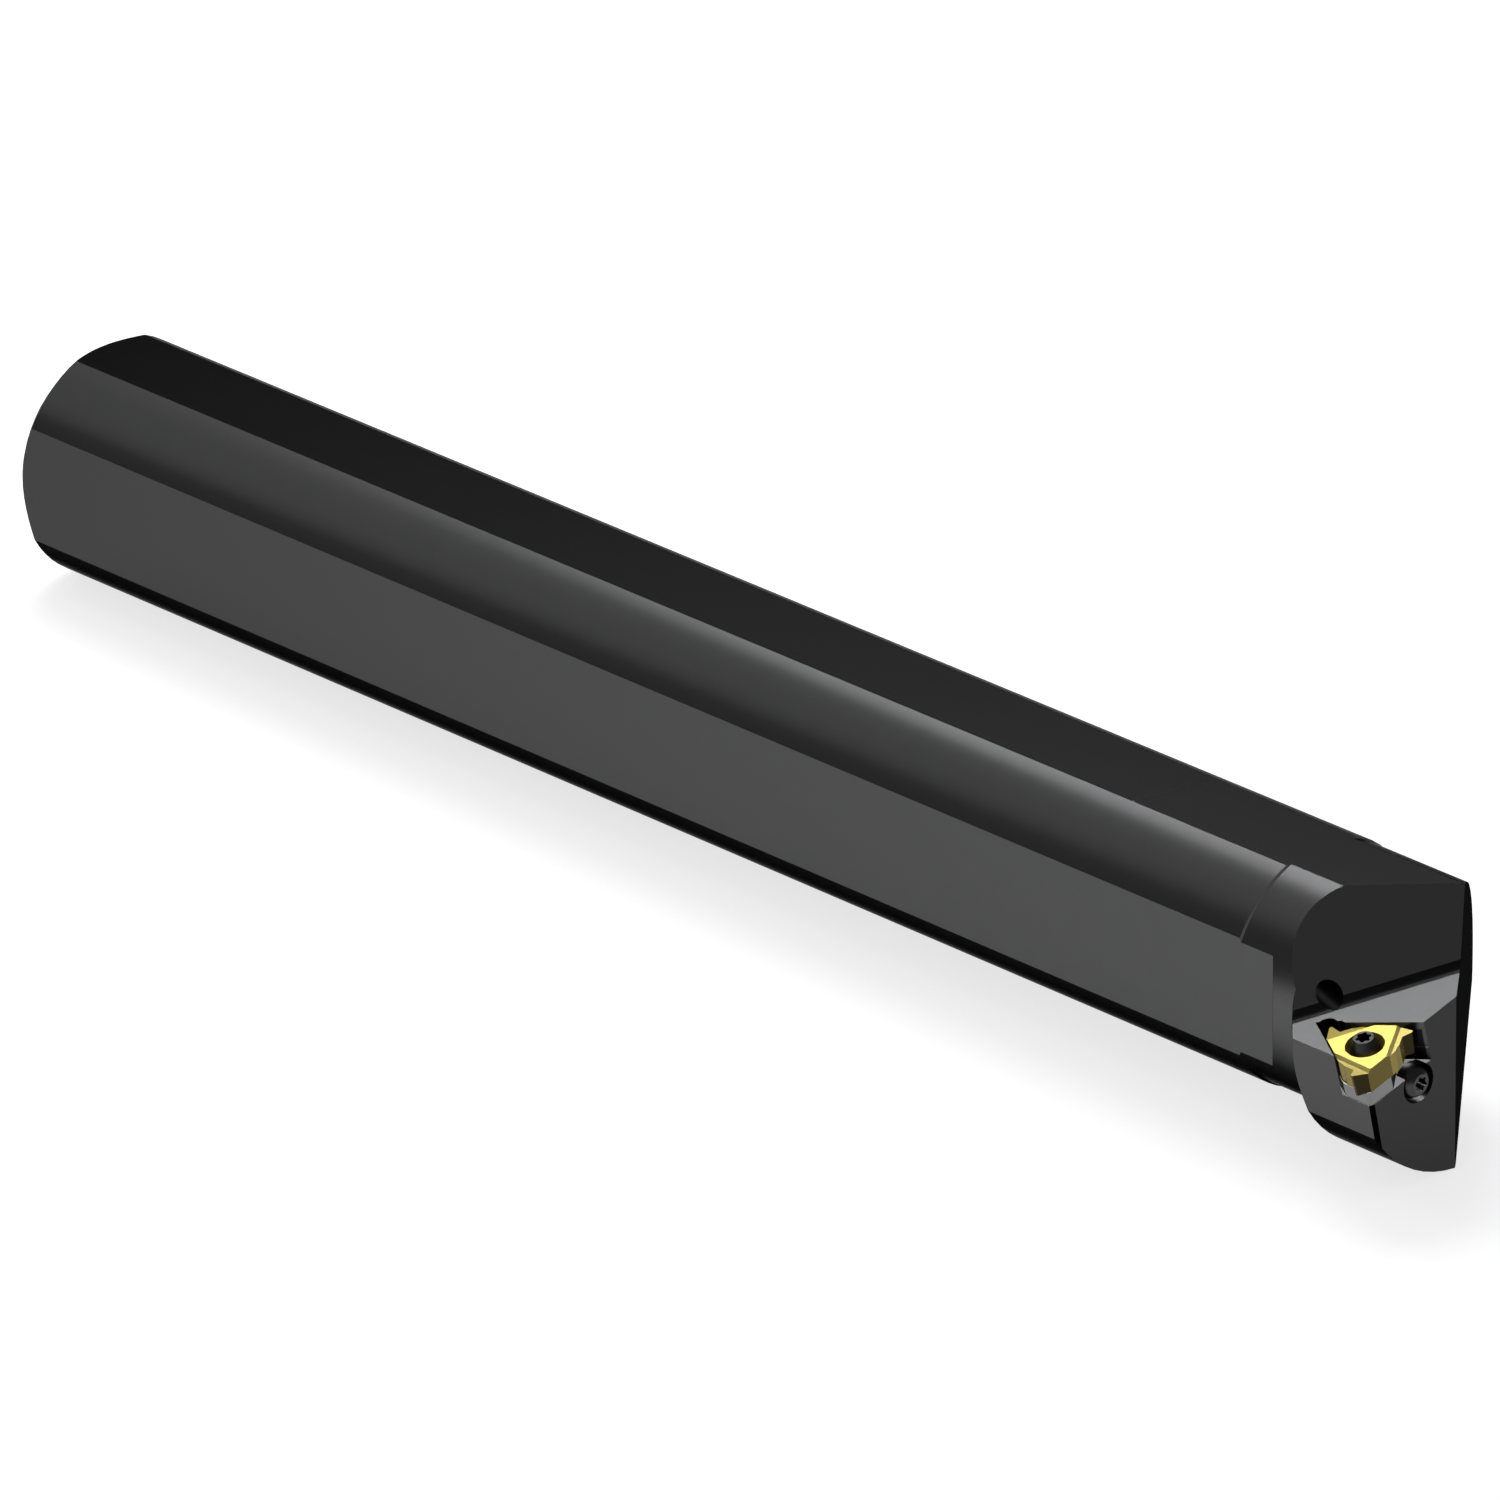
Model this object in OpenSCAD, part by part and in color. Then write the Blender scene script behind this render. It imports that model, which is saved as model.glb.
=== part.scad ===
// Boring bar for cutting internal threads, with a tilted three-corner insert.
// The bar lies along X, with its rear end at the origin and its head at +X.
// The insert's rake side looks up (+Z) and its cutting tip points to -Y.

/* [Shank] */
// Diameter of the round shank
shank_d = 40; // [37:0.5:44]
// Length from the rear end to the end face of the head
bar_len = 307.15; // [200:0.05:420]
// Depth of the top and bottom flats below the round
flat_depth = 1.45; // [0.8:0.05:2.2]
// Depth of the side flat on the tip's side
side_flat_depth = 2.55; // [1:0.05:3.2]
// Length from the end face back to the front end of the side and bottom flats
flat_stop = 26; // [24:0.5:50]
// Chamfer round the rear end
rear_chamfer = 3; // [0.5:0.1:5]

/* [Neck and head] */
// Length of the neck and head in front of the shank
neck_len = 33; // [28:0.5:60]
// How much smaller the neck is than the shank, on the radius
neck_step = 0.3; // [0.1:0.05:1.5]
// Diameter of the eccentric head below the pocket floor
head_d = 45.2; // [44:0.1:50]
// How far the head's centre lies above the shank's
head_rise = 0.7; // [0:0.05:1.5]
// Length of the head's full diameter, before it tapers back to the neck
head_len = 14.3; // [11:0.1:18]
// Distance from the bar's axis to the ground side face beside the tip
side_reach = 23.65; // [22.8:0.05:24.5]
// Lean of the side face under the tip, in degrees
side_lean = 12; // [8:0.5:16]
// Width of the broken edge of the side face, along the bar
corner_len = 0.4; // [0.1:0.05:1]
// Width of the broken edge on the end face
corner_depth = 0.8; // [0.2:0.05:1.5]
// Turn of the long bevel on the far side, in degrees
bevel_turn = 39.1; // [30:0.1:45]
// Where the long bevel starts on the end face, on the tip's side of the axis
bevel_start = 4.7; // [2:0.1:8]
// Turn of the lower bevel, in degrees
lower_turn = 67; // [60:0.5:72]
// Slope of the lower bevel, in degrees
lower_slope = 38.8; // [34:0.1:44]
// Where the lower bevel leaves the long one, below the axis
lower_start = 5; // [2:0.1:8]

/* [Seat and pocket] */
// Tilt of the insert and the pocket floor, in degrees
seat_tilt = 15; // [12:0.5:18]
// Turn of the insert to the thread's helix, in degrees
lead_tilt = 1.5; // [0:0.25:2]
// Distance from the side face in to the insert's centre
insert_inset = 4.97; // [4.8:0.01:5.3]
// Height of the insert's rake side above the axis, at its centre
seat_z = 2.28; // [1.8:0.02:3]
// How far the insert stands out of the end face
insert_out = 0.1; // [0:0.01:0.3]
// Height of the pocket floor above the insert's rake side
floor_rise = 0.53; // [0.2:0.01:0.8]
// Distance from the insert's centre to the foot of the chip wall
wall_gap = 10.9; // [10.4:0.1:13]
// Turn of the chip wall's foot from the bar's axis, in degrees
wall_turn = 58.4; // [52:0.1:64]
// Slope of the chip wall above the pocket floor, in degrees
wall_slope = 43.4; // [38:0.1:50]
// Radius between the pocket floor and the chip wall
wall_fillet = 2.3; // [1:0.1:3]
// Clearance between the insert and the wall that it bears on
bear_gap = 0.04; // [0.02:0.01:0.1]
// Clearance between the insert and the wall beside the chip pocket
free_gap = 0.39; // [0.2:0.01:0.6]
// How far the bearing wall stands in beside the shim
ledge = 0.15; // [0.05:0.01:0.2]
// Radius of the relief drilled in the seat's corner
relief_r = 1.54; // [1.2:0.02:1.8]

/* [Insert] */
// Diameter of the circle inside the insert's three sides
insert_ic = 9.525; // [9.4:0.025:9.7]
// Thickness of the insert
insert_t = 4; // [3.6:0.05:4.6]
// How far the edge beside each tooth stands out of the insert's side
crest_rise = 0.44; // [0.3:0.02:0.6]
// Height of each thread tooth
tooth_h = 1.4; // [1:0.05:1.8]
// Angle of the thread tooth, in degrees
tooth_angle = 60; // [50:1:60]
// Width of the flat on the tooth's tip
tip_flat = 0.4; // [0.1:0.05:0.6]
// Distance from the middle of the tooth to the insert's front side
tooth_inset = 1.36; // [1.2:0.02:1.6]
// Relief under the tooth's faces, in degrees
tooth_relief = 4; // [2:0.5:6]
// Depth of the chip groove along each corner
groove_depth = 0.44; // [0.2:0.02:0.6]
// Diameter of the insert's hole below the countersink
insert_hole_d = 4.4; // [4:0.05:4.8]
// Diameter of the countersink on the rake side
countersink_d = 6.15; // [5.8:0.05:6.4]
// Depth of the countersink
countersink_h = 1.9; // [1.5:0.1:2.4]

/* [Shim] */
// Thickness of the shim
shim_t = 2.35; // [2:0.05:3]
// Distance from the shim's hole to the face cut for the shim screw
shim_cut = 3.7; // [3.4:0.05:3.8]
// Radius of the shim's corner beside the end face
shim_round = 0.8; // [0.3:0.1:1.5]
// Diameter of the shim's hole
shim_hole_d = 4.6; // [4:0.1:4.8]

/* [Screws] */
// Diameter of the insert screw's thread
insert_screw_d = 3.5; // [3:0.1:3.8]
// Depth of its threaded hole below the rake side
insert_hole_depth = 15; // [12:0.5:16]
// Height of the insert screw's head above the rake side
screw_rise = 1.4; // [0.8:0.1:1.6]
// Diameter of the shim screw's thread
shim_screw_d = 4; // [3:0.1:4.2]
// Diameter of the shim screw's round head
shim_head_d = 5.72; // [5.4:0.02:5.9]
// Depth of the recess for that head in the end face
recess_depth = 2.2; // [1.8:0.05:2.6]
// Clearance round that head in its recess
recess_gap = 0.34; // [0.2:0.02:0.5]
// Distance from the insert's centre to the shim screw
shim_screw_y = 4.7; // [4.6:0.05:5]
// Drop from the seat floor to the shim screw
shim_screw_drop = 2.3; // [2.2:0.05:2.6]
// Gap between each thread and its hole
thread_gap = 0.05; // [0.02:0.01:0.1]

/* [Coolant] */
// Diameter of the bore along the bar
coolant_d = 8; // [5:0.5:12]
// Length from the end face back to where the outlet leaves that bore
coolant_turn = 45; // [42:0.5:70]
// Diameter of the outlet in the chip wall
outlet_d = 4; // [2:0.1:4.4]
// Height of the outlet up the chip wall
outlet_up = 2; // [1.6:0.1:3]
// Distance of the outlet along the chip wall, towards the side face
outlet_along = 1.9; // [0:0.1:3]
// Diameter of the threaded inlet in the rear end
inlet_d = 11.5; // [8:0.1:16]
// Depth of that inlet
inlet_len = 15; // [8:0.5:25]

/* [Hidden] */
$fn = 96;
// Reach of a cutting solid past what it cuts
past = 1;
// Reach of a half space that cuts the whole bar
far = 60;
shank_r = shank_d / 2;
neck_r = shank_r - neck_step;
neck_x = bar_len - neck_len;
flat_r = shank_r - flat_depth;
side_flat_r = shank_r - side_flat_depth;
flat_end = bar_len - flat_stop;
head_r = head_d / 2;
// The head comes flush with the shank on the side away from the tip
head_y = shank_r - head_r;
insert_r = insert_ic / 2;
seat_depth = insert_t + shim_t;
seat_x = bar_len + insert_out - insert_r;
seat_y = (side_reach - insert_inset + seat_z * sin(side_lean)) / cos(side_lean);
fillet_reach = wall_fillet * tan(wall_slope / 2);
bear_r = insert_r + bear_gap;
free_r = insert_r + free_gap;
// The corner where the seat's two walls meet
seat_corner = [-(bear_r + free_r), (bear_r - free_r) / sqrt(3)];
relief_at = seat_corner + [2, 0.55];
small_relief_r = relief_r / 2;
small_relief_at = seat_corner + [3.45, 1.6];
crest_y = insert_r + crest_rise;
tip_y = crest_y + tooth_h;
tooth_x = insert_r - tooth_inset;
flank = tan(tooth_angle / 2);
hole_r = insert_hole_d / 2;
countersink_r = countersink_d / 2;
insert_screw_r = insert_screw_d / 2;
shim_screw_r = shim_screw_d / 2;
shim_head_r = shim_head_d / 2;
recess_r = shim_head_r + recess_gap;
// The shim screw's head is a ball with a flat back and a flat socket face
ball_back = 0.38;
ball_len = 2.75;
shim_screw_len = 7;
shim_hole_len = 9;
// The insert screw stops short of the bottom of its hole
screw_end_gap = 1.5;
screw_gap = 0.05;
shim_gap = 0.02;
socket_r = 1.25;
coolant_x = bar_len - coolant_turn;
drill_point = 0.3 * coolant_d;

// The frame of the chip pocket: its floor is level with XY, at the insert's centre
module pocket_frame() {
    translate([seat_x, -seat_y, seat_z])
        rotate([seat_tilt, 0, 0])
            children();
}

// The frame of the insert: the rake side is the XY plane, and its centre the origin
module seat_frame() {
    pocket_frame()
        rotate([0, lead_tilt, 0])
            children();
}

// A point of the pocket's frame in the bar's own
function in_bar(p) = [
    seat_x + p[0],
    -seat_y + p[1] * cos(seat_tilt) - p[2] * sin(seat_tilt),
    seat_z + p[1] * sin(seat_tilt) + p[2] * cos(seat_tilt)
];

// A point of the chip wall, by its distance along the foot and up the slope
function on_wall(along, up) = let (back = wall_gap + up * cos(wall_slope)) in_bar([
    -along * cos(wall_turn) - back * sin(wall_turn),
    -along * sin(wall_turn) + back * cos(wall_turn),
    floor_rise + up * sin(wall_slope)
]);

function turned(p, a) = [p[0] * cos(a) - p[1] * sin(a), p[0] * sin(a) + p[1] * cos(a)];

// Everything beyond the plane x = 0
module half_space() {
    translate([0, -far, -far])
        cube([far, 2 * far, 2 * far]);
}

// A solid turned about the bar's axis from a profile of radius and length
module turned_bar(profile) {
    rotate([0, 90, 0])
        rotate_extrude()
            polygon(profile);
}

// A hole from one point towards another, and as far again past it as asked
module hole_between(from, to, r, beyond) {
    v = to - from;
    translate(from)
        rotate([0, acos(v[2] / norm(v)), atan2(v[1], v[0])])
            cylinder(r = r, h = norm(v) + beyond);
}

// The socket of six lobes in a screw's head, cut down from z = 0
module six_lobe_socket(r, depth) {
    lobe_r = r / 4;
    translate([0, 0, -depth]) {
        cylinder(r = r - lobe_r, h = depth + past);
        for (k = [0:5])
            rotate([0, 0, 60 * k])
                translate([r - lobe_r, 0, 0])
                    cylinder(r = lobe_r, h = depth + past);
    }
}

// The round shank with its neck, before the flats are milled
module shank_blank() {
    turned_bar([
        [0, 0],
        [shank_r - rear_chamfer, 0],
        [shank_r, rear_chamfer],
        [shank_r, neck_x],
        [neck_r, neck_x + neck_step],
        [neck_r, bar_len],
        [0, bar_len]
    ]);
}

// A flat milled along the bar at radius r, which ramps out at 45 degrees
module flat_cut(turn, r, end) {
    out = shank_r - r + past;
    rotate([90 + turn, 0, 0])
        linear_extrude(height = 2 * shank_d, center = true)
            polygon([[-past, r], [end, r], [end + out, r + out], [-past, r + out]]);
}

// The eccentric head and its 45 degree taper, which end at the pocket floor
module head_blank() {
    head_x = bar_len - head_len;
    difference() {
        translate([0, head_y, head_rise])
            turned_bar([
                [0, head_x - head_r],
                [head_r, head_x],
                [head_r, bar_len],
                [0, bar_len]
            ]);
        pocket_frame()
            translate([-far, -far, floor_rise])
                cube([2 * far, 2 * far, far]);
    }
}

// The side face under the tip, and its broken edge at the end face
module side_cut() {
    rotate([side_lean, 0, 0]) {
        translate([bar_len - far, -side_reach - far, -far])
            cube([2 * far, far, 2 * far]);
        translate([0, 0, -far])
            linear_extrude(height = 2 * far)
                polygon([
                    [bar_len - corner_len, -side_reach],
                    [bar_len - corner_len, -side_reach - past],
                    [bar_len + past, -side_reach - past],
                    [bar_len + past, corner_depth - side_reach],
                    [bar_len, corner_depth - side_reach]
                ]);
    }
}

// The two bevels that clear the bore's wall on the side away from the tip
module bevel_cuts() {
    lower_y = shank_r - past;
    lower_x = bar_len - (lower_y + bevel_start) * tan(bevel_turn);
    translate([bar_len, -bevel_start, 0])
        rotate([0, 0, bevel_turn])
            half_space();
    translate([lower_x, lower_y, -lower_start])
        rotate([0, lower_slope, lower_turn])
            half_space();
}

// The chip pocket: a level floor, a fillet and a sloping wall behind the insert
module chip_pocket() {
    pocket_frame()
        translate([0, 0, floor_rise])
            rotate([0, 0, wall_turn])
                rotate([90, 0, 90]) {
                    linear_extrude(height = 2 * far, center = true)
                        polygon([
                            [-far, 0],
                            [wall_gap - fillet_reach, 0],
                            [wall_gap + fillet_reach * cos(wall_slope), fillet_reach * sin(wall_slope)],
                            [wall_gap + far * cos(wall_slope), far * sin(wall_slope)],
                            [-far, far * sin(wall_slope)]
                        ]);
                    translate([wall_gap - fillet_reach, wall_fillet, 0])
                        cylinder(r = wall_fillet, h = 2 * far, center = true);
                }
}

// The two walls of the seat, which meet at 60 degrees and open at the end face
module seat_walls(corner, low, high) {
    reach = 2 * insert_ic;
    translate([0, 0, low])
        linear_extrude(height = high - low)
            polygon([
                corner,
                corner + reach * [cos(30), -sin(30)],
                corner + reach * [cos(30), sin(30)]
            ]);
}

// The seat of the insert and the shim, its corner reliefs and its screw hole
module seat_cut() {
    top = floor_rise + past;
    shim_corner = seat_corner + [ledge, -ledge / sqrt(3)];
    seat_frame() {
        seat_walls(seat_corner, -insert_t, top);
        seat_walls(shim_corner, -seat_depth, -insert_t);
        translate([relief_at[0], relief_at[1], -seat_depth])
            cylinder(r = relief_r, h = seat_depth + top);
        translate([small_relief_at[0], small_relief_at[1], -seat_depth])
            cylinder(r = small_relief_r, h = seat_depth + top);
        translate([0, 0, -insert_hole_depth])
            cylinder(r = insert_screw_r + thread_gap, h = insert_hole_depth - seat_depth + past);
    }
}

// Puts the shim screw's axis along z, with z = 0 on the floor of its recess
module at_shim_screw() {
    pocket_frame()
        translate([bar_len - recess_depth - seat_x, shim_screw_y, -seat_depth - shim_screw_drop])
            rotate([0, 90, 0])
                children();
}

module shim_screw_cut() {
    at_shim_screw() {
        cylinder(r = recess_r, h = recess_depth + past);
        translate([0, 0, -shim_hole_len])
            cylinder(r = shim_screw_r + thread_gap, h = shim_hole_len + past);
    }
}

// The coolant's way: threaded inlet, long bore and the outlet in the chip wall
module coolant_cut() {
    start = [coolant_x, 0, 0];
    rotate([0, 90, 0]) {
        translate([0, 0, -past])
            cylinder(d = inlet_d, h = inlet_len + past);
        cylinder(d = coolant_d, h = coolant_x);
        translate([0, 0, coolant_x])
            cylinder(d1 = coolant_d, d2 = 0, h = drill_point);
    }
    hole_between(start, on_wall(outlet_along, outlet_up), outlet_d / 2, 2 * outlet_d);
}

module bar() {
    color("#45484c")
        difference() {
            union() {
                difference() {
                    shank_blank();
                    flat_cut(90, side_flat_r, flat_end);
                    flat_cut(180, flat_r, flat_end);
                }
                head_blank();
            }
            flat_cut(0, flat_r, bar_len + past);
            side_cut();
            bevel_cuts();
            chip_pocket();
            seat_cut();
            shim_screw_cut();
            coolant_cut();
        }
}

// One corner of the insert without its tooth, from its left side to its front side
shoulder = [[6.42, -0.28], [5.76, 0.11], [4.69, 0.24], [4.35, 0.42]];
corner_start = insert_r - 7.16;
tooth_start = [tooth_x - tip_flat / 2 - tooth_h * flank, -crest_y];
tooth_end = [insert_r, (tooth_inset - tip_flat / 2) / flank - tip_y];
corner_outline = [
    [corner_start, -(insert_r + corner_start / 2) / cos(30)],
    for (p = shoulder) [insert_r - p[0], -insert_r - p[1]],
    tooth_start,
    tooth_end
];

// A thread tooth, which slants back under its edges to give them clearance
module tooth() {
    intersection() {
        translate([0, -tip_y, 0])
            rotate([tooth_relief, 0, 0])
                linear_extrude(height = 3 * insert_t, center = true)
                    translate([0, tip_y])
                        polygon([
                            tooth_start,
                            [tooth_x - tip_flat / 2, -tip_y],
                            [tooth_x + tip_flat / 2, -tip_y],
                            tooth_end,
                            [tooth_x, past - insert_r]
                        ]);
        translate([-insert_ic, -insert_ic, -insert_t])
            cube([2 * insert_ic, insert_ic, insert_t]);
    }
}

// The groove behind one corner's edge, which curls the chip
module chip_groove() {
    rotate([90, 0, 90])
        linear_extrude(height = 4 * insert_r, center = true)
            polygon([
                [0.86 - insert_r, 0],
                [0.36 - insert_r, -groove_depth],
                [-tip_y, 0],
                [-tip_y, past],
                [0.86 - insert_r, past]
            ]);
}

// The carbide insert: a flat triangle with a ground thread tooth at each corner
module insert() {
    color("#e3c765")
        seat_frame()
            difference() {
                union() {
                    translate([0, 0, -insert_t])
                        linear_extrude(height = insert_t)
                            polygon([for (k = [0:2]) for (p = corner_outline) turned(p, 120 * k)]);
                    for (k = [0:2])
                        rotate([0, 0, 120 * k])
                            tooth();
                }
                for (k = [0:2])
                    rotate([0, 0, 120 * k])
                        chip_groove();
                translate([0, 0, -insert_t])
                    rotate_extrude()
                        polygon([
                            [0, -past],
                            [hole_r, -past],
                            [hole_r, insert_t - countersink_h],
                            [countersink_r, insert_t],
                            [countersink_r, insert_t + past],
                            [0, insert_t + past]
                        ]);
            }
}

// The shim's outline: two long sides, a blunt back corner, the face cut for the
// shim screw, the front side and the side that comes flush with the side face
module shim_outline() {
    // The side face leans, so the shim is flush with it halfway down its thickness
    lean = seat_tilt - side_lean;
    side_y = (insert_inset + (insert_t + shim_t / 2) * sin(lean)) / cos(lean);
    bear_side = insert_r - ledge + shim_gap;
    back_x = -1.6 * insert_r;
    cut_turn = 36;
    cut_x = (shim_cut - bear_side * sin(cut_turn) / cos(30)) / (cos(cut_turn) + sin(cut_turn) * tan(30));
    polygon([
        [back_x, (bear_side + back_x / 2) / cos(30)],
        [back_x, -(insert_r + back_x / 2) / cos(30)],
        [2 * (side_y * cos(30) - insert_r), -side_y],
        [insert_r - shim_round, -side_y],
        [insert_r, shim_round - side_y],
        [insert_r, (shim_cut - insert_r * cos(cut_turn)) / sin(cut_turn)],
        [cut_x, (bear_side + cut_x / 2) / cos(30)]
    ]);
    translate([insert_r - shim_round, shim_round - side_y])
        circle(r = shim_round);
}

// The shim, which carries the insert and sets its tilt
module shim() {
    color("#8f9398")
        seat_frame()
            difference() {
                translate([0, 0, -seat_depth])
                    linear_extrude(height = shim_t)
                        shim_outline();
                translate([0, 0, -seat_depth - past])
                    cylinder(d = shim_hole_d, h = shim_t + 2 * past);
            }
}

// The insert screw: its head seats in the countersink, and its shank in the bar
module insert_screw() {
    seat_low = countersink_h - screw_gap;
    seat_high = 0.68 * countersink_h;
    slope = (countersink_r - hole_r) / countersink_h;
    screw_end = insert_hole_depth - screw_end_gap;
    color("#2b2d30")
        seat_frame()
            difference() {
                rotate_extrude()
                    polygon([
                        [0, screw_rise],
                        [0, -screw_end],
                        [insert_screw_r, -screw_end],
                        [insert_screw_r, -seat_low - 0.8],
                        [countersink_r - seat_low * slope - screw_gap, -seat_low],
                        [countersink_r - seat_high * slope - screw_gap, -seat_high],
                        [2.15, 0],
                        [1.55, screw_rise]
                    ]);
                translate([0, 0, screw_rise])
                    six_lobe_socket(socket_r, 1.9);
            }
}

// The shim screw: a ball head with a flat back, which sits in the end face
module shim_screw() {
    color("#2b2d30")
        at_shim_screw()
            difference() {
                union() {
                    intersection() {
                        translate([0, 0, ball_back])
                            sphere(r = shim_head_r);
                        cylinder(r = shank_r, h = ball_len);
                    }
                    translate([0, 0, -shim_screw_len])
                        cylinder(r = shim_screw_r, h = shim_screw_len + past);
                }
                translate([0, 0, ball_len])
                    six_lobe_socket(socket_r, 1.6);
            }
}

bar();
shim();
insert();
insert_screw();
shim_screw();
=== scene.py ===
"""A threading boring bar: a blackened steel bar with a gold coated insert, on a pale floor.

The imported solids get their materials. The thread in the rear inlet and the head's shoulder
are added, and then the camera, the floor and the light. All lengths are in metres.
"""
import math

import bpy
import numpy as np
from mathutils import Matrix, Vector


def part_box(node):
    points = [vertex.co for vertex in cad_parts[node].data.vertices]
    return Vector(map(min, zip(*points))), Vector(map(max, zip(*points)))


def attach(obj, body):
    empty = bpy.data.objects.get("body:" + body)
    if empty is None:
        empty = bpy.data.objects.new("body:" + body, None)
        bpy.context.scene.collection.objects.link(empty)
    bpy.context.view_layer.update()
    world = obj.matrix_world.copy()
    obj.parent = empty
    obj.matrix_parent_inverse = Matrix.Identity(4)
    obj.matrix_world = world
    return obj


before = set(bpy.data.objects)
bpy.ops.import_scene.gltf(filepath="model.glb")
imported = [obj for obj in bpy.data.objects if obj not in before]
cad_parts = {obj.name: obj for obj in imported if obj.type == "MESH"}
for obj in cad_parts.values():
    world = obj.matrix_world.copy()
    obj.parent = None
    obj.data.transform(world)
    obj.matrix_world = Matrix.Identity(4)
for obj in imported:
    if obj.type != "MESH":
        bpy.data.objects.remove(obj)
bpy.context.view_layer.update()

MM = 0.001

# How far a point may lie off a face and still take that face's finish
SKIN = 0.02 * MM

# The bar: its flats, its neck, its rear inlet, and where it touches the floor
BAR_LEN = 307.15 * MM
FLAT_Z = 18.55 * MM
SIDE_FLAT_Y = -17.45 * MM
FLAT_END = 281.15 * MM
NECK_X = 274.15 * MM
NECK_R = 19.7 * MM
NECK_STEP = 0.3 * MM
INLET_R = 5.75 * MM
INLET_LEN = 15 * MM
REAR_EDGE_X = 1.55 * MM
LOWEST_HEAD_X = 300 * MM
LOWEST_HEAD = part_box("bar")[0][2]

# The head's taper: its centre line's y and z, and the x where its radius would be nothing
HEAD_CENTRE = (-2.6 * MM, 0.7 * MM)
TAPER_TIP = 270.25 * MM

# The insert's seat: its tilt, its turn to the thread's helix, and the middle of the rake side
SEAT_TILT = math.radians(15)
LEAD_TILT = math.radians(1.5)
SEAT_CENTRE = np.array((302.4875, -19.582, 2.28)) * MM

# The levels of the seat's floor and of the rim of its walls' painted shade, both from the rake
# side, and the walls' reach from the middle
SEAT_FLOOR = -6.35 * MM
SEAT_RIM = -0.7 * MM
SEAT_REACH = 9 * MM

# The insert: its screw's countersink, its front side, and each corner's chip groove and tooth
COUNTERSINK_R = 3.1 * MM
FRONT_SIDE = 4.7625 * MM
GROOVE_START = -3.9025 * MM
GROOVE_END = 6.6025 * MM
GROOVE_STEEP = 0.88
GROOVE_GENTLE = 0.2
TOOTH_START = 2.3 * MM
TOOTH_FOOT = -4.58 * MM

# The chip wall: the turn of its foot, its slope, the foot's place, and the fillet there
WALL_TURN = math.radians(58.4)
WALL_SLOPE = math.radians(43.4)
WALL_GAP = 10.9 * MM
FLOOR_RISE = 0.53 * MM
FILLET_R = 2.3 * MM
FILLET_RUN = FILLET_R * math.tan(WALL_SLOPE / 2)

# The head's shoulder: how far its hidden edges lie inside the bar, its way up the wall and back
# round the taper, and its numbers of points
SUNK = 0.06 * MM
SUNK_ROW = 0.05 * MM
SUNK_IN_NECK = 0.4 * MM
CLIMB = (0.3 * MM, 3.4 * MM)
ROUND_TAPER = (0.1 * MM, 3.4 * MM)
CLIMB_ROWS = 12
WALL_COLUMNS = 6
TAPER_COLUMNS = 16
SHARP_ANGLE = math.radians(30)

# The camera of the photograph
CAMERA_AZIMUTH = -43.9747
CAMERA_ELEVATION = 24.7503
CAMERA_ROLL = 0.5482
CAMERA_PLACE = (1.981236, -1.766596, 1.167994)
SENSOR = 36.0
FOCAL_PIXELS = 17950.356
PHOTO_PIXELS = 1500

# The floor's half width, and how much it adds to its own lit colour, where 1 is white
FLOOR_REACH = 6.0
FLOOR_GLOW = 0.72

# The even light of the room, and the lamps. Each lamp is a disk that stands at a distance in
# the direction given from the point that it aims at
ROOM_LIGHT = 0.17
SIDE_LAMP = {
    "towards": (-0.68, -0.18, 0.68),
    "distance": 1.5,
    "size": 1.3,
    "power": 1.7,
    "aim": (0.2, 0.0, 0.0),
}
KEY_LAMP = {
    "towards": (-0.65, 0.28, 0.70),
    "distance": 0.8,
    "size": 0.45,
    "power": 1.95,
    "aim": (0.36, 0.0, 0.0),
}


def grey(value):
    """A neutral colour, as the linear value of its red, green and blue."""
    return (value, value, value, 1.0)


# The oxide's own two tones, then tones painted per face for the light and shade on it: painted
# lighter on the chip wall, the side face and the top at the head, painted shade on the flats
# towards the rear, the end face, the fillet, the seat's walls and the matt faces; and the height
# over which the neck's step goes from painted shade at its foot to a painted highlight at its top
OXIDE_DARK = (0.088, 0.0885, 0.09, 1)
OXIDE_LIGHT = (0.098, 0.0985, 0.1, 1)
TOP_LIT_AT_HEAD = grey(0.112)
TOP_SHADED_AT_REAR = grey(0.047)
SIDE_FLAT_SHADED_AT_REAR = grey(0.065)
CHIP_WALL_LIT_TONE = grey(0.135)
SIDE_FACE_LIT_TONE = grey(0.115)
END_FACE_SHADE = grey(0.05)
FILLET_SHADE = grey(0.02)
SEAT_WALL_SHADE = grey(0.015)
MATT_SHADE_DARK = grey(0.001)
MATT_SHADE_PALE = grey(0.005)
STEP_SHADE = grey(0.01)
STEP_HIGHLIGHT = grey(0.3)
STEP_FADE = 8 * MM

# The insert's golds: its own rake golds, and golds painted lighter or darker for the light and
# shade on the grooves, the sides and the teeth
RAKE_DARK = (0.55, 0.41, 0.095, 1)
RAKE_LIGHT = (0.6, 0.45, 0.105, 1)
GROOVE_GOLD_LIT = (0.93, 0.76, 0.21, 1)
STEEP_GOLD_LIT = (0.98, 0.83, 0.27, 1)
SIDE_GOLD_SHADED = (0.31, 0.24, 0.06, 1)
FRONT_SIDE_GOLD_SHADED = (0.15, 0.115, 0.025, 1)
TOOTH_GOLD_SHADED = (0.035, 0.026, 0.008, 1)

# The darkest tones of the two screws; the ball screw's is painted lighter for the light on its head
INSERT_SCREW_TONE = 0.03
SHIM_SCREW_LIT_TONE = 0.045


def facing(turn, slope):
    """The unit normal at a turn round z from +x, and a slope below the horizon, in degrees."""
    turn, slope = math.radians(turn), math.radians(slope)
    return (math.cos(slope) * math.cos(turn), math.cos(slope) * math.sin(turn), -math.sin(slope))


def plane_through(normal, point):
    """A plane's normal and its distance from the origin, from one point on it."""
    return normal, sum(n * p for n, p in zip(normal, point))


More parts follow.
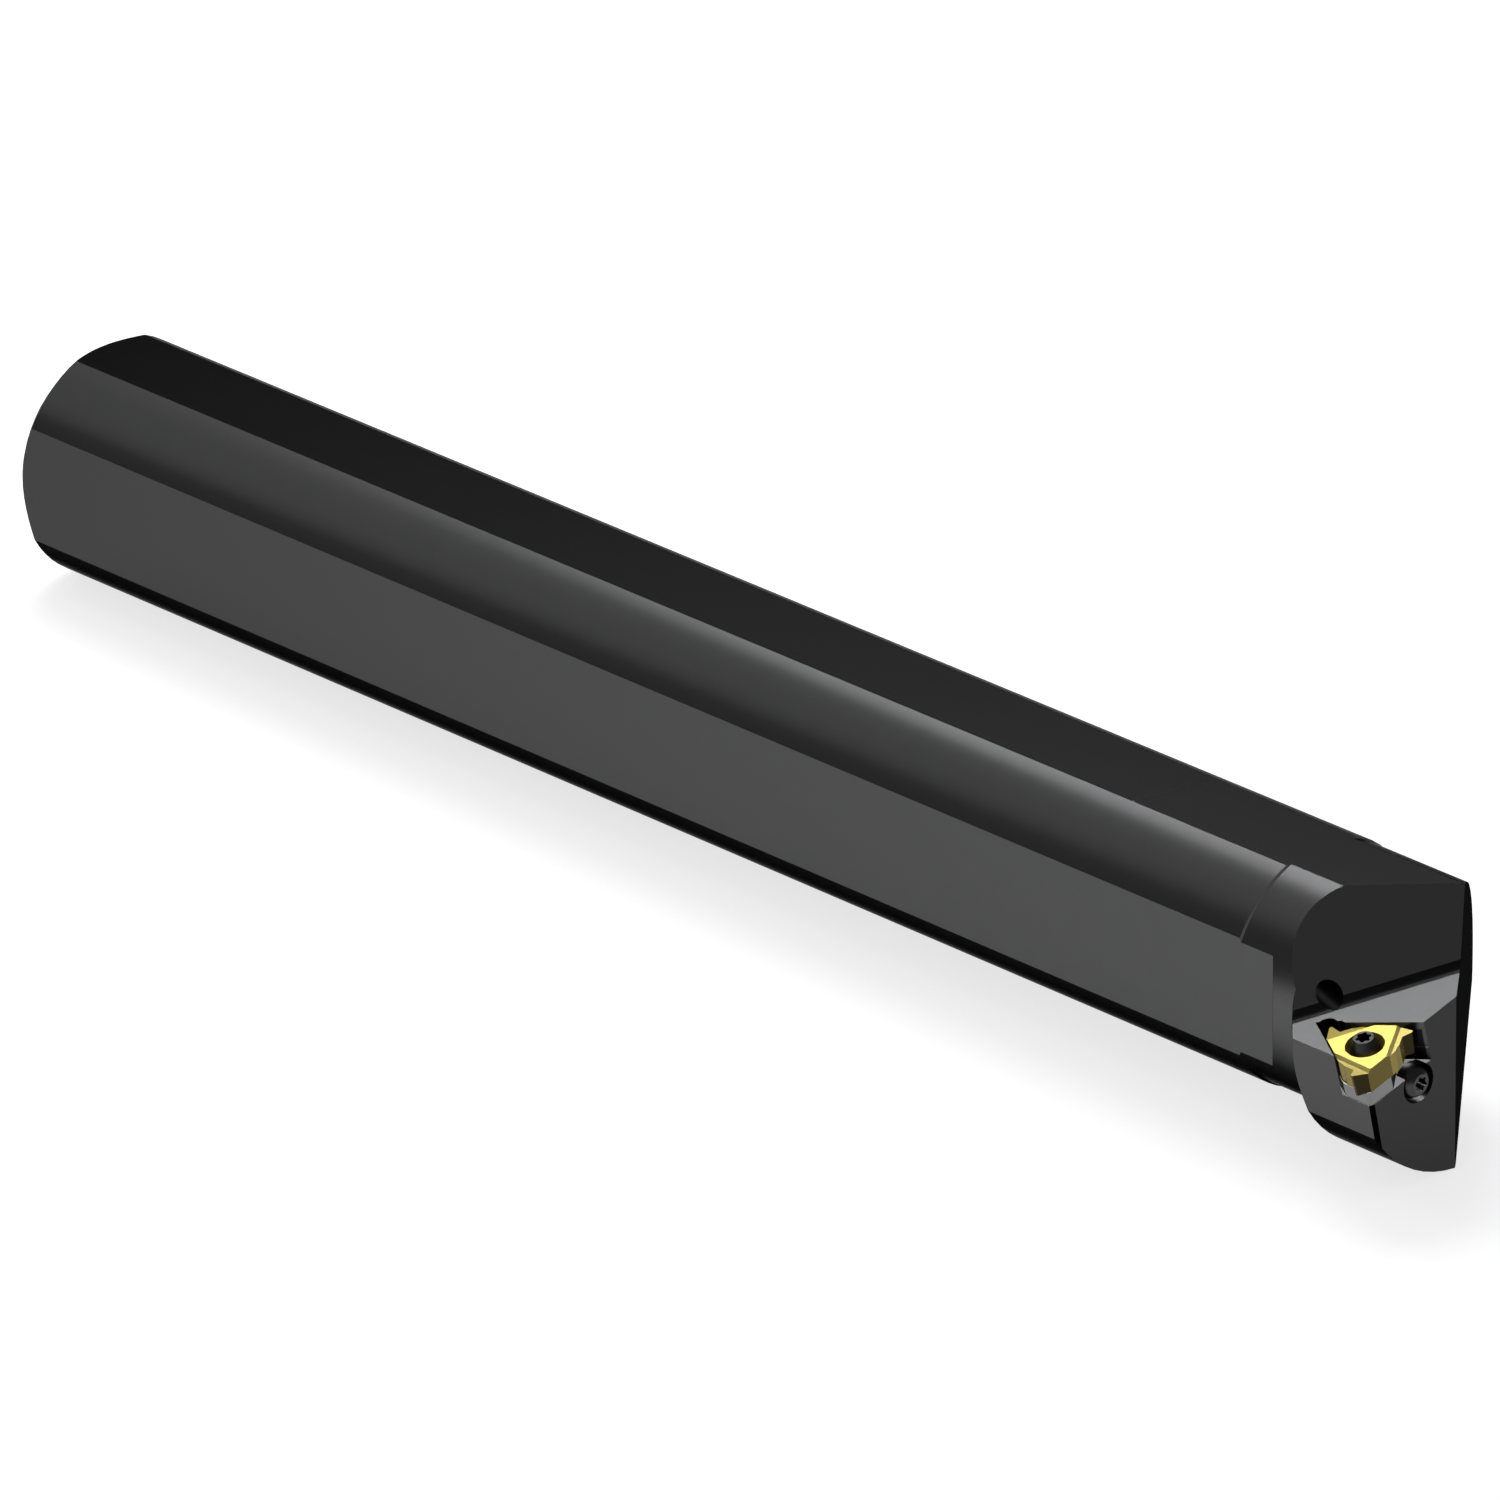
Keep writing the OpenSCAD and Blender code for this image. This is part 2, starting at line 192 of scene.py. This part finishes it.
# The insert's own axes across, ahead and up, each as a plane through the middle of its rake side
SEAT_AXES = [plane_through(axis, SEAT_CENTRE) for axis in (
    (
        math.cos(LEAD_TILT),
        math.sin(SEAT_TILT) * math.sin(LEAD_TILT),
        -math.cos(SEAT_TILT) * math.sin(LEAD_TILT),
    ),
    (0.0, math.cos(SEAT_TILT), math.sin(SEAT_TILT)),
    (
        math.sin(LEAD_TILT),
        -math.sin(SEAT_TILT) * math.cos(LEAD_TILT),
        math.cos(SEAT_TILT) * math.cos(LEAD_TILT),
    ),
)]


def in_bar(across, ahead, up):
    """A point of the insert's own axes, in millimetres, as a point of the bar in metres."""
    steps = [np.array(axis) * step * MM for (axis, _), step in zip(SEAT_AXES, (across, ahead, up))]
    return tuple(SEAT_CENTRE + sum(steps))


# The reliefs drilled in the seat's corner: two points of the axis, and the radius
RELIEFS = [
    (in_bar(-7.955, 0.348, 0), in_bar(-7.955, 0.348, -5), 1.54 * MM),
    (in_bar(-6.505, 1.398, 0), in_bar(-6.505, 1.398, -5), 0.77 * MM),
]

# Unit steps along the chip wall's foot, away behind it, and up from the pocket's floor
ALONG = np.array((
    math.cos(WALL_TURN),
    math.sin(WALL_TURN) * math.cos(SEAT_TILT),
    math.sin(WALL_TURN) * math.sin(SEAT_TILT),
))
BEHIND = np.array((
    -math.sin(WALL_TURN),
    math.cos(WALL_TURN) * math.cos(SEAT_TILT),
    math.cos(WALL_TURN) * math.sin(SEAT_TILT),
))
ABOVE = np.array((0.0, -math.sin(SEAT_TILT), math.cos(SEAT_TILT)))

# The head's slanting faces, as planes: a normal and a distance from the origin
BEVEL = plane_through(facing(39.1, 0), (BAR_LEN, -4.7 * MM, 0))
LOWER_BEVEL = plane_through(facing(67, 38.8), (287.89 * MM, 19 * MM, -5 * MM))
SIDE_FACE = (facing(-90, 12), 23.65 * MM)
CHIP_WALL = plane_through(
    math.cos(WALL_SLOPE) * ABOVE - math.sin(WALL_SLOPE) * BEHIND,
    SEAT_CENTRE + WALL_GAP * BEHIND + FLOOR_RISE * ABOVE,
)

# The broken edge between end face and side face: its width on the side face, and its normal's
# shares of those two faces
EDGE_WIDTH = 0.4 * MM
END_SHARE = 0.894
SIDE_SHARE = 0.447
BROKEN_EDGE = plane_through(
    (END_SHARE, SIDE_SHARE * SIDE_FACE[0][1], SIDE_SHARE * SIDE_FACE[0][2]),
    (BAR_LEN - EDGE_WIDTH, SIDE_FACE[1] * SIDE_FACE[0][1], SIDE_FACE[1] * SIDE_FACE[0][2]),
)

# Two points on the axis of the fillet at the chip wall's foot
FILLET_MIDDLE = SEAT_CENTRE + (WALL_GAP - FILLET_RUN) * BEHIND + (FLOOR_RISE + FILLET_R) * ABOVE
FILLET_START = tuple(FILLET_MIDDLE - 10 * MM * ALONG)
FILLET_END = tuple(FILLET_MIDDLE + 10 * MM * ALONG)


class Value:
    """A shader value that adds its own Math nodes when it is used in an expression."""

    def __init__(self, shade, socket):
        self.shade = shade
        self.socket = socket

    def _math(self, operation, *values):
        """The result of one Math node on these values."""
        return self.shade.node("ShaderNodeMath", {"operation": operation}, dict(enumerate(values)))

    def __add__(self, other):
        return self._math("ADD", self, other)

    __radd__ = __add__

    def __mul__(self, other):
        return self._math("MULTIPLY", self, other)

    __rmul__ = __mul__

    def __sub__(self, other):
        return self._math("SUBTRACT", self, other)

    def __rsub__(self, other):
        return self._math("SUBTRACT", other, self)

    def __truediv__(self, other):
        return self._math("DIVIDE", self, other)

    def __pow__(self, other):
        return self._math("POWER", self, other)

    def __gt__(self, other):
        return self._math("GREATER_THAN", self, other)

    def __lt__(self, other):
        return self._math("LESS_THAN", self, other)


class Shade:
    """One material's node tree: its Principled shader, and one method for any other node."""

    def __init__(self, name, **constants):
        self.material = bpy.data.materials.new(name)
        self.material.use_nodes = True
        self.tree = self.material.node_tree
        self.shader = self.tree.nodes["Principled BSDF"]
        for socket, value in constants.items():
            self.shader.inputs[socket.replace("_", " ")].default_value = value

    def node(self, kind, settings=None, inputs=None, output=0):
        """A node of any kind: its settings first, then the values or links of its sockets."""
        made = self.tree.nodes.new(kind)
        for key, value in (settings or {}).items():
            setattr(made, key, value)
        for key, value in (inputs or {}).items():
            self._feed(made.inputs[key], value)
        return Value(self, made.outputs[output])

    def _feed(self, socket, value):
        """A link into the socket for a shader value, and otherwise the socket's own value."""
        if isinstance(value, Value):
            self.tree.links.new(value.socket, socket)
        else:
            socket.default_value = value

    def feed(self, name, value):
        """A value or a link for one of the Principled shader's sockets."""
        self._feed(self.shader.inputs[name], value)

    def place(self, scale=(1, 1, 1)):
        """The object's own coordinates in metres, stretched by a scale for each axis."""
        where = self.node("ShaderNodeTexCoord", output="Object")
        return self.node("ShaderNodeVectorMath", {"operation": "MULTIPLY"}, {0: where, 1: scale})

    def axes(self):
        """The object's own x, y and z, each as a value in metres."""
        where = self.node("ShaderNodeTexCoord", output="Object")
        split = self.node("ShaderNodeSeparateXYZ", inputs={0: where})
        parts = split.socket.node.outputs
        return [Value(self, part) for part in parts]

    def noise(self, scale, size, detail=3.0, rough=0.5):
        """A noise of about size spots a metre, made finer along each axis by the scale."""
        return self.node(
            "ShaderNodeTexNoise",
            inputs={"Vector": self.place(scale), "Scale": size, "Detail": detail, "Roughness": rough},
        )

    def mix(self, factor, first, second):
        """Two colours mixed by a factor from 0 to 1."""
        return self.node(
            "ShaderNodeMix",
            {"data_type": "RGBA"},
            {0: factor, 6: first, 7: second},
            output=2,
        )

    def smaller(self, first, second):
        """The smaller of two values."""
        return self.node("ShaderNodeMath", {"operation": "MINIMUM"}, {0: first, 1: second})

    def larger(self, first, second):
        """The larger of two values."""
        return self.node("ShaderNodeMath", {"operation": "MAXIMUM"}, {0: first, 1: second})

    def from_line(self, start, end):
        """How far a point lies from the line through two points, in metres."""
        direction = Vector(end) - Vector(start)
        direction.normalize()
        offset = self.node(
            "ShaderNodeVectorMath", {"operation": "SUBTRACT"}, {0: self.place(), 1: start})
        across = self.node(
            "ShaderNodeVectorMath", {"operation": "CROSS_PRODUCT"}, {0: offset, 1: tuple(direction)})
        return self.node("ShaderNodeVectorMath", {"operation": "LENGTH"}, {0: across}, output="Value")

    def bump(self, height, strength, distance):
        """Fine relief from a height of 0 to 1, which stands for the distance in metres."""
        self.feed("Normal", self.node(
            "ShaderNodeBump",
            inputs={"Strength": strength, "Distance": distance, "Height": height},
        ))


def beyond(x, y, z, normal, distance):
    """How far a point lies beyond a plane, in metres."""
    return x * normal[0] + y * normal[1] + z * normal[2] - distance


def seat_walls(shade, x, y, z):
    """The walls of the insert's seat that are painted dark for shade: above its floor, below its rim,
    and off the reliefs.
    """
    across, ahead, up = (beyond(x, y, z, *plane) for plane in SEAT_AXES)
    relief = 0.0
    for start, end, radius in RELIEFS:
        relief = shade.larger(relief, shade.from_line(start, end) < radius + SKIN)
    walls = (up > SEAT_FLOOR + SKIN) * (up < SEAT_RIM) * (1 - relief)
    return walls * (across * across + ahead * ahead < SEAT_REACH * SEAT_REACH)


def matt_faces(x, y, z):
    """The two bevels and the broken edge, where the oxide is left matt and painted near black for
    shade.
    """
    bevels = (beyond(x, y, z, *BEVEL) > -SKIN) + (beyond(x, y, z, *LOWER_BEVEL) > -SKIN)
    return bevels + (beyond(x, y, z, *BROKEN_EDGE) > -SKIN)


def blackened_steel():
    """Dark oxide over steel: ground along the flats, turned round the rest, with a faint mottle.

    Light and shade are painted into the oxide by place: the milled end face, the fillet and the
    seat's walls are painted darker than the ground faces, the chip wall and the side face lighter.
    The two flats are painted darker towards the rear, the matt faces near black, and the neck's
    step gets painted shade at its foot and a painted highlight at its top.
    """
    shade = Shade("blackened_steel", Specular_Tint=grey(0.0), Specular_IOR_Level=0.0)
    x, y, z = shade.axes()
    rear = 1 - x / BAR_LEN
    on_top = z > FLAT_Z - SKIN
    on_side = (y < SIDE_FLAT_Y + SKIN) * (x < FLAT_END + SKIN)
    flat = on_top + on_side
    step = (x > NECK_X) * (x < NECK_X + NECK_STEP) * (1 - flat)
    end_face = x > BAR_LEN - SKIN
    side_face = beyond(x, y, z, *SIDE_FACE) > -SKIN
    chip_wall = beyond(x, y, z, *CHIP_WALL)
    on_wall = (chip_wall > -SKIN) * (chip_wall < SKIN)
    fillet = shade.from_line(FILLET_START, FILLET_END) < FILLET_R + SKIN
    seat_wall = seat_walls(shade, x, y, z) * (1 - end_face) * (1 - side_face)
    matt = matt_faces(x, y, z)
    along = shade.noise((40, 4000, 4000), 1.0)
    around = shade.noise((4000, 60, 60), 1.0)
    lines = along * flat + around * (1 - flat)
    mottle = shade.noise((1, 1, 1), 220.0, detail=5.0, rough=0.6)
    oxide = shade.mix(mottle, OXIDE_DARK, OXIDE_LIGHT)
    # Painted light: the chip wall lighter
    oxide = shade.mix(on_wall, oxide, CHIP_WALL_LIT_TONE)
    # Painted shade: the top flat lighter at the head and darker towards the rear, the side flat
    # darker towards the rear
    oxide = shade.mix(on_top, oxide, shade.mix(rear ** 0.5, TOP_LIT_AT_HEAD, TOP_SHADED_AT_REAR))
    oxide = shade.mix(on_side * rear, oxide, SIDE_FLAT_SHADED_AT_REAR)
    # Painted light: the side face lighter
    oxide = shade.mix(side_face, oxide, SIDE_FACE_LIT_TONE)
    # Painted shade: the end face darker
    oxide = shade.mix(end_face, oxide, END_FACE_SHADE)
    # Painted shade: the bevels and the broken edge near black
    oxide = shade.mix(matt, oxide, shade.mix(mottle, MATT_SHADE_DARK, MATT_SHADE_PALE))
    # Painted shade: the fillet at the chip wall's foot darker
    oxide = shade.mix(fillet, oxide, FILLET_SHADE)
    # Painted shade at the foot of the neck's step, and a painted highlight along its top
    oxide = shade.mix(step, oxide, shade.mix(z / STEP_FADE, STEP_SHADE, STEP_HIGHLIGHT))
    # Painted shade: the seat's walls dark
    oxide = shade.mix(seat_wall, oxide, SEAT_WALL_SHADE)
    shade.feed("Base Color", oxide)
    shade.feed("Metallic", 1 - 0.95 * matt)
    shade.feed("Roughness", 0.28 + 0.01 * mottle + 0.01 * lines)
    shade.bump(lines, 0.02, 0.001 * MM)
    return shade.material


def ground_steel():
    """Bare hardened steel with fine grinding lines, for the shim."""
    shade = Shade("ground_steel", Metallic=1.0)
    lines = shade.noise((300, 6000, 300), 1.0)
    cloud = shade.noise((1, 1, 1), 500.0)
    shade.feed("Base Color", shade.mix(cloud, grey(0.19), grey(0.21)))
    shade.feed("Roughness", 0.32 + 0.06 * lines)
    shade.bump(lines, 0.1, 0.003 * MM)
    return shade.material


def insert_corners(shade, across, ahead):
    """The chip grooves' depth, their steep walls and the teeth, for all three corners.

    A groove's depth is the smaller of a steep slope, which goes down from the groove's start
    towards the corner, and a gentle one, which comes up again to the groove's end.
    """
    groove = 0.0
    steep = 0.0
    tooth = 0.0
    for corner in range(3):
        turn = math.radians(120 * corner)
        inward = ahead * math.cos(turn) - across * math.sin(turn)
        sideways = across * math.cos(turn) + ahead * math.sin(turn)
        rise = (GROOVE_START - inward) * GROOVE_STEEP
        fall = (inward + GROOVE_END) * GROOVE_GENTLE
        groove = shade.larger(groove, shade.smaller(rise, fall))
        steep = shade.larger(steep, (rise > 0) * (rise < fall))
        tooth = shade.larger(tooth, (sideways > TOOTH_START) * (inward < TOOTH_FOOT))
    return groove, steep, tooth


def gold_coating():
    """The insert's gold coloured nitride coating: polished on the rake side and in the grooves.

    A point belongs to the sides when it lies below the rake side or its grooves, and outside
    the screw's countersink. The sides are painted darker for shade, the front side darker still,
    and the teeth's sides darkest; the grooves and their steep walls are painted lighter.
    """
    shade = Shade("gold_coating", Specular_IOR_Level=0.1)
    x, y, z = shade.axes()
    across, ahead, up = (beyond(x, y, z, *plane) for plane in SEAT_AXES)
    groove, steep, tooth = insert_corners(shade, across, ahead)
    in_hole = (across * across + ahead * ahead) < COUNTERSINK_R * COUNTERSINK_R
    side = (up + groove < -SKIN) * (1 - in_hole)
    grain = shade.noise((1, 1, 1), 9000.0, detail=2.0)
    cloud = shade.noise((1, 1, 1), 400.0)
    gold = shade.mix(cloud, RAKE_DARK, RAKE_LIGHT)
    # Painted light: the grooves and their steep walls lighter
    gold = shade.mix(groove > 0, gold, GROOVE_GOLD_LIT)
    gold = shade.mix(steep, gold, STEEP_GOLD_LIT)
    # Painted shade: the insert's sides darker, its front side darker still, the teeth's sides darkest
    gold = shade.mix(side, gold, SIDE_GOLD_SHADED)
    gold = shade.mix(side * (across > FRONT_SIDE - SKIN), gold, FRONT_SIDE_GOLD_SHADED)
    gold = shade.mix(side * tooth, gold, TOOTH_GOLD_SHADED)
    shade.feed("Base Color", gold)
    shade.feed("Metallic", 0.6 - (1 - side) * (0.35 * (groove > 0) + 0.15 * steep))
    shade.feed("Roughness", 0.24 + 0.05 * grain)
    shade.bump(grain, 0.05, 0.002 * MM)
    return shade.material


def screw_black(name, tone):
    """Black oxide on a hardened screw, a little worn and oily, from its darkest tone up."""
    shade = Shade(name, Metallic=1.0)
    cloud = shade.noise((1, 1, 1), 900.0)
    shade.feed("Base Color", shade.mix(cloud, grey(tone), grey(1.5 * tone)))
    shade.feed("Roughness", 0.26 + 0.1 * cloud)
    shade.bump(cloud, 0.1, 0.01 * MM)
    return shade.material


def floor_paint():
    """A plain pale floor, which shows as white to the camera and in the metal's reflections."""
    shade = Shade(
        "floor_paint",
        Base_Color=grey(0.9),
        Roughness=0.9,
        Specular_IOR_Level=0.0,
        Emission_Strength=1.0,
    )
    seen = shade.node("ShaderNodeLightPath", output="Is Camera Ray")
    mirrored = shade.node("ShaderNodeLightPath", output="Is Glossy Ray")
    through = shade.node("ShaderNodeLightPath", output="Is Transmission Ray")
    watched = shade.larger(seen, shade.larger(mirrored, through))
    shade.feed("Emission Color", shade.mix(watched, grey(0.0), grey(FLOOR_GLOW)))
    return shade.material


def mesh_piece(name, verts, faces, material):
    """A new piece from arrays of points and faces, which rides with the bar."""
    mesh = bpy.data.meshes.new(name)
    mesh.from_pydata(verts.tolist(), [], faces)
    mesh.update()
    mesh.shade_smooth()
    piece = bpy.data.objects.new(name, mesh)
    bpy.context.collection.objects.link(piece)
    mesh.materials.append(material)
    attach(piece, "root")
    return piece


def grid_faces(index):
    """Quads between neighbouring points of a grid of point numbers."""
    corners = (index[:-1, :-1], index[1:, :-1], index[1:, 1:], index[:-1, 1:])
    return np.stack([corner.ravel() for corner in corners], axis=1).tolist()


def inlet_thread(material):
    """The thread in the coolant inlet, as a sleeve whose outer side lies inside the steel.

    The radius at angle a and depth d is the inlet's own, less a small margin and a ridge that
    is highest where d less the pitch's share of the angle is a whole number of pitches. The
    ridge fades in and out over the first and the last pitch.
    """
    pitch = 1.34 * MM
    ridge = 0.4 * MM
    margin = 0.02 * MM
    outside = 0.05 * MM
    end_gap = 0.3 * MM
    turns = np.linspace(0.0, 2 * math.pi, 96, endpoint=False)
    depths = np.linspace(end_gap, INLET_LEN - end_gap, 240)
    depth, angle = np.meshgrid(depths, turns, indexing="ij")
    phase = depth / pitch - angle / (2 * math.pi)
    wave = np.abs(2 * (phase - np.floor(phase)) - 1)
    fade = np.clip((depth - depths[0]) / pitch, 0, 1) * np.clip((depths[-1] - depth) / pitch, 0, 1)
    radius = INLET_R - margin - ridge * wave * fade
    # Two more rings close the sleeve: its outer side at the deep end and at the mouth
    depth = np.vstack([depth, depth[-1:], depth[:1]])
    angle = np.vstack([angle, angle[-1:], angle[:1]])
    radius = np.vstack([radius, np.full((2, len(turns)), INLET_R + outside)])
    verts = np.stack([depth, radius * np.cos(angle), radius * np.sin(angle)], axis=-1)
    index = np.arange(depth.size).reshape(depth.shape)
    index = np.vstack([index, index[:1]])
    index = np.hstack([index, index[:, :1]])
    return mesh_piece("inlet_thread", verts.reshape(-1, 3), grid_faces(index), material)


def along_to_surface(start, step, centre, radius_at):
    """How many steps lie from each start to a surface turned about a line parallel to x.

    The radius is a pair (a, b), for a + b x. With the start's y and z measured from the centre
    the distance solves a quadratic: the squares of y and z less the square of the radius.
    """
    base, slope = radius_at
    y, z = start[..., 1] - centre[0], start[..., 2] - centre[1]
    radius = base + slope * start[..., 0]
    a = step[1] ** 2 + step[2] ** 2 - (slope * step[0]) ** 2
    b = 2 * (y * step[1] + z * step[2] - radius * slope * step[0])
    c = y ** 2 + z ** 2 - radius ** 2
    return (-b + np.sqrt(b ** 2 - 4 * a * c)) / (2 * a)


def shoulder_rows():
    """How far behind the insert's middle each row of the shoulder lies, and at what level.

    At an angle a from 0 to the wall's slope the fillet lies its radius times sin a behind its
    own foot, and its radius times 1 - cos a above it. The other rows climb the wall. One more
    row, below the first, lies in the pocket's floor.
    """
    arc = np.linspace(0, WALL_SLOPE, CLIMB_ROWS)
    climb = FILLET_RUN + np.linspace(*CLIMB, CLIMB_ROWS)
    back = WALL_GAP - FILLET_RUN + FILLET_R * np.sin(arc)
    level = FLOOR_RISE + FILLET_R * (1 - np.cos(arc))
    back = np.append(back, WALL_GAP + climb * math.cos(WALL_SLOPE))
    level = np.append(level, FLOOR_RISE + climb * math.sin(WALL_SLOPE))
    back = np.insert(back, 0, back[0])
    level = np.insert(level, 0, level[0] - SUNK_ROW)
    return back, level


def shoulder_ends(back, level):
    """Each row's start, and how far back along the wall from there the neck and the taper lie.

    Where the taper dips into the neck, its distance stops just inside the neck.
    """
    start = SEAT_CENTRE + back[:, None] * BEHIND + level[:, None] * ABOVE
    to_neck = along_to_surface(start, -ALONG, (0, 0), (NECK_R, 0))
    to_taper = along_to_surface(start, -ALONG, HEAD_CENTRE, (-TAPER_TIP, 1))
    to_taper = np.maximum(to_taper, to_neck - SUNK)
    to_taper[0] -= SUNK
    return start, to_neck, to_taper


def head_shoulder(material):
    """The head's taper beside the chip wall, where it stands out of the neck above the pocket.

    Each row is a level above the pocket floor: the first rows climb the fillet's arc, the
    others the wall's slope. A row runs along the wall from inside the neck to the taper, and
    then back round the taper until that dips into the neck. Both ends close inside the bar.
    """
    back, level = shoulder_rows()
    start, to_neck, to_taper = shoulder_ends(back, level)
    columns = []
    for share in np.linspace(0, 1, WALL_COLUMNS):
        along = to_neck - SUNK_IN_NECK + share * (to_taper - to_neck + SUNK_IN_NECK)
        columns.append(start - along[:, None] * ALONG - SUNK * (share == 0) * ABOVE)
    for extra in np.linspace(*ROUND_TAPER, TAPER_COLUMNS):
        start, to_neck, to_taper = shoulder_ends(back + extra, level)
        columns.append(start - to_taper[:, None] * ALONG)
    grid = np.stack(columns, axis=1)
    rows, ring = grid.shape[:2]
    index = np.arange(rows * ring).reshape(rows, ring)
    faces = grid_faces(np.hstack([index, index[:, :1]]))
    faces += [index[0].tolist(), index[-1, ::-1].tolist()]
    piece = mesh_piece("head_shoulder", grid.reshape(-1, 3), faces, material)
    piece.data.set_sharp_from_angle(angle=SHARP_ANGLE)
    return piece


def place_camera():
    """The photograph's camera: a long lens, turned and tilted to the bar's own axes."""
    azimuth, elevation, roll = map(math.radians, (CAMERA_AZIMUTH, CAMERA_ELEVATION, CAMERA_ROLL))
    back = np.array([
        math.cos(elevation) * math.cos(azimuth),
        math.cos(elevation) * math.sin(azimuth),
        math.sin(elevation),
    ])
    right = np.cross(-back, (0.0, 0.0, 1.0))
    right /= np.linalg.norm(right)
    down = np.cross(-back, right)
    rolled_right = math.cos(roll) * right + math.sin(roll) * down
    rolled_down = math.cos(roll) * down - math.sin(roll) * right
    turn = np.stack([rolled_right, -rolled_down, back], axis=1)
    lens = bpy.data.cameras.new("photo_camera")
    lens.sensor_width = SENSOR
    lens.sensor_fit = "HORIZONTAL"
    lens.lens = FOCAL_PIXELS / PHOTO_PIXELS * SENSOR
    lens.clip_start = 0.1
    lens.clip_end = 50.0
    camera = bpy.data.objects.new("photo_camera", lens)
    camera.matrix_world = Matrix.Translation(CAMERA_PLACE) @ Matrix(turn.tolist()).to_4x4()
    bpy.context.collection.objects.link(camera)
    bpy.context.scene.camera = camera


def area_light(name, towards, distance, size, power, aim, shadow=True):
    """A soft round lamp in the direction given from the point that it aims at.

    Without shadows it is sampled only as a lamp, so that its highlights aren't lost behind
    other faces either.
    """
    towards = np.array(towards) / np.linalg.norm(towards)
    lamp = bpy.data.lights.new(name, "AREA")
    lamp.shape = "DISK"
    lamp.size = size
    lamp.energy = power
    lamp.use_shadow = shadow
    lamp.cycles.use_multiple_importance_sampling = shadow
    light = bpy.data.objects.new(name, lamp)
    light.location = np.array(aim) + towards * distance
    light.rotation_euler = Vector(towards.tolist()).to_track_quat("Z", "Y").to_euler()
    bpy.context.collection.objects.link(light)
    return light


def light_only(light, pieces):
    """Keeps a lamp's light to the pieces given."""
    lit = bpy.data.collections.new(light.name + "_lights")
    for piece in pieces:
        lit.objects.link(piece)
    light.light_linking.receiver_collection = lit


def make_floor(material):
    """A floor that the bar lies on: it meets the rear edge and the head's lowest line."""
    slope = (LOWEST_HEAD + FLAT_Z) / (LOWEST_HEAD_X - REAR_EDGE_X)
    xs = np.array([-1, 1, 1, -1]) * FLOOR_REACH
    ys = np.array([-1, -1, 1, 1]) * FLOOR_REACH
    zs = slope * (xs - REAR_EDGE_X) - FLAT_Z
    mesh = bpy.data.meshes.new("floor")
    mesh.from_pydata(np.stack([xs, ys, zs], axis=1).tolist(), [], [(0, 1, 2, 3)])
    floor = bpy.data.objects.new("floor", mesh)
    bpy.context.collection.objects.link(floor)
    mesh.materials.append(material)
    return floor


def light_world(strength):
    """An even dim room round the studio lamps."""
    world = bpy.data.worlds.new("studio")
    world.use_nodes = True
    background = world.node_tree.nodes["Background"]
    background.inputs["Color"].default_value = grey(1.0)
    background.inputs["Strength"].default_value = strength
    bpy.context.scene.world = world


FINISHES = {
    "bar": blackened_steel(),
    "shim": ground_steel(),
    "insert": gold_coating(),
    "insert_screw": screw_black("screw_black", INSERT_SCREW_TONE),
    # The ball screw's black is painted lighter for the light on its head
    "shim_screw": screw_black("ball_screw_black", SHIM_SCREW_LIT_TONE),
}

for node, finish in FINISHES.items():
    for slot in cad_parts[node].material_slots:
        slot.material = finish

PIECES = list(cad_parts.values())
PIECES += [inlet_thread(FINISHES["bar"]), head_shoulder(FINISHES["bar"])]
place_camera()
FLOOR = make_floor(floor_paint())
light_world(ROOM_LIGHT)
area_light("side", **SIDE_LAMP)
# The key lamp stands twice in one place. The first lights only the floor, with the bar's
# shadow, and the second only the bar's pieces, without shadows in the chip pocket and the seat
light_only(area_light("key_floor", **KEY_LAMP), [FLOOR])
light_only(area_light("key_bar", shadow=False, **KEY_LAMP), PIECES)
bpy.context.scene.view_settings.view_transform = "Standard"
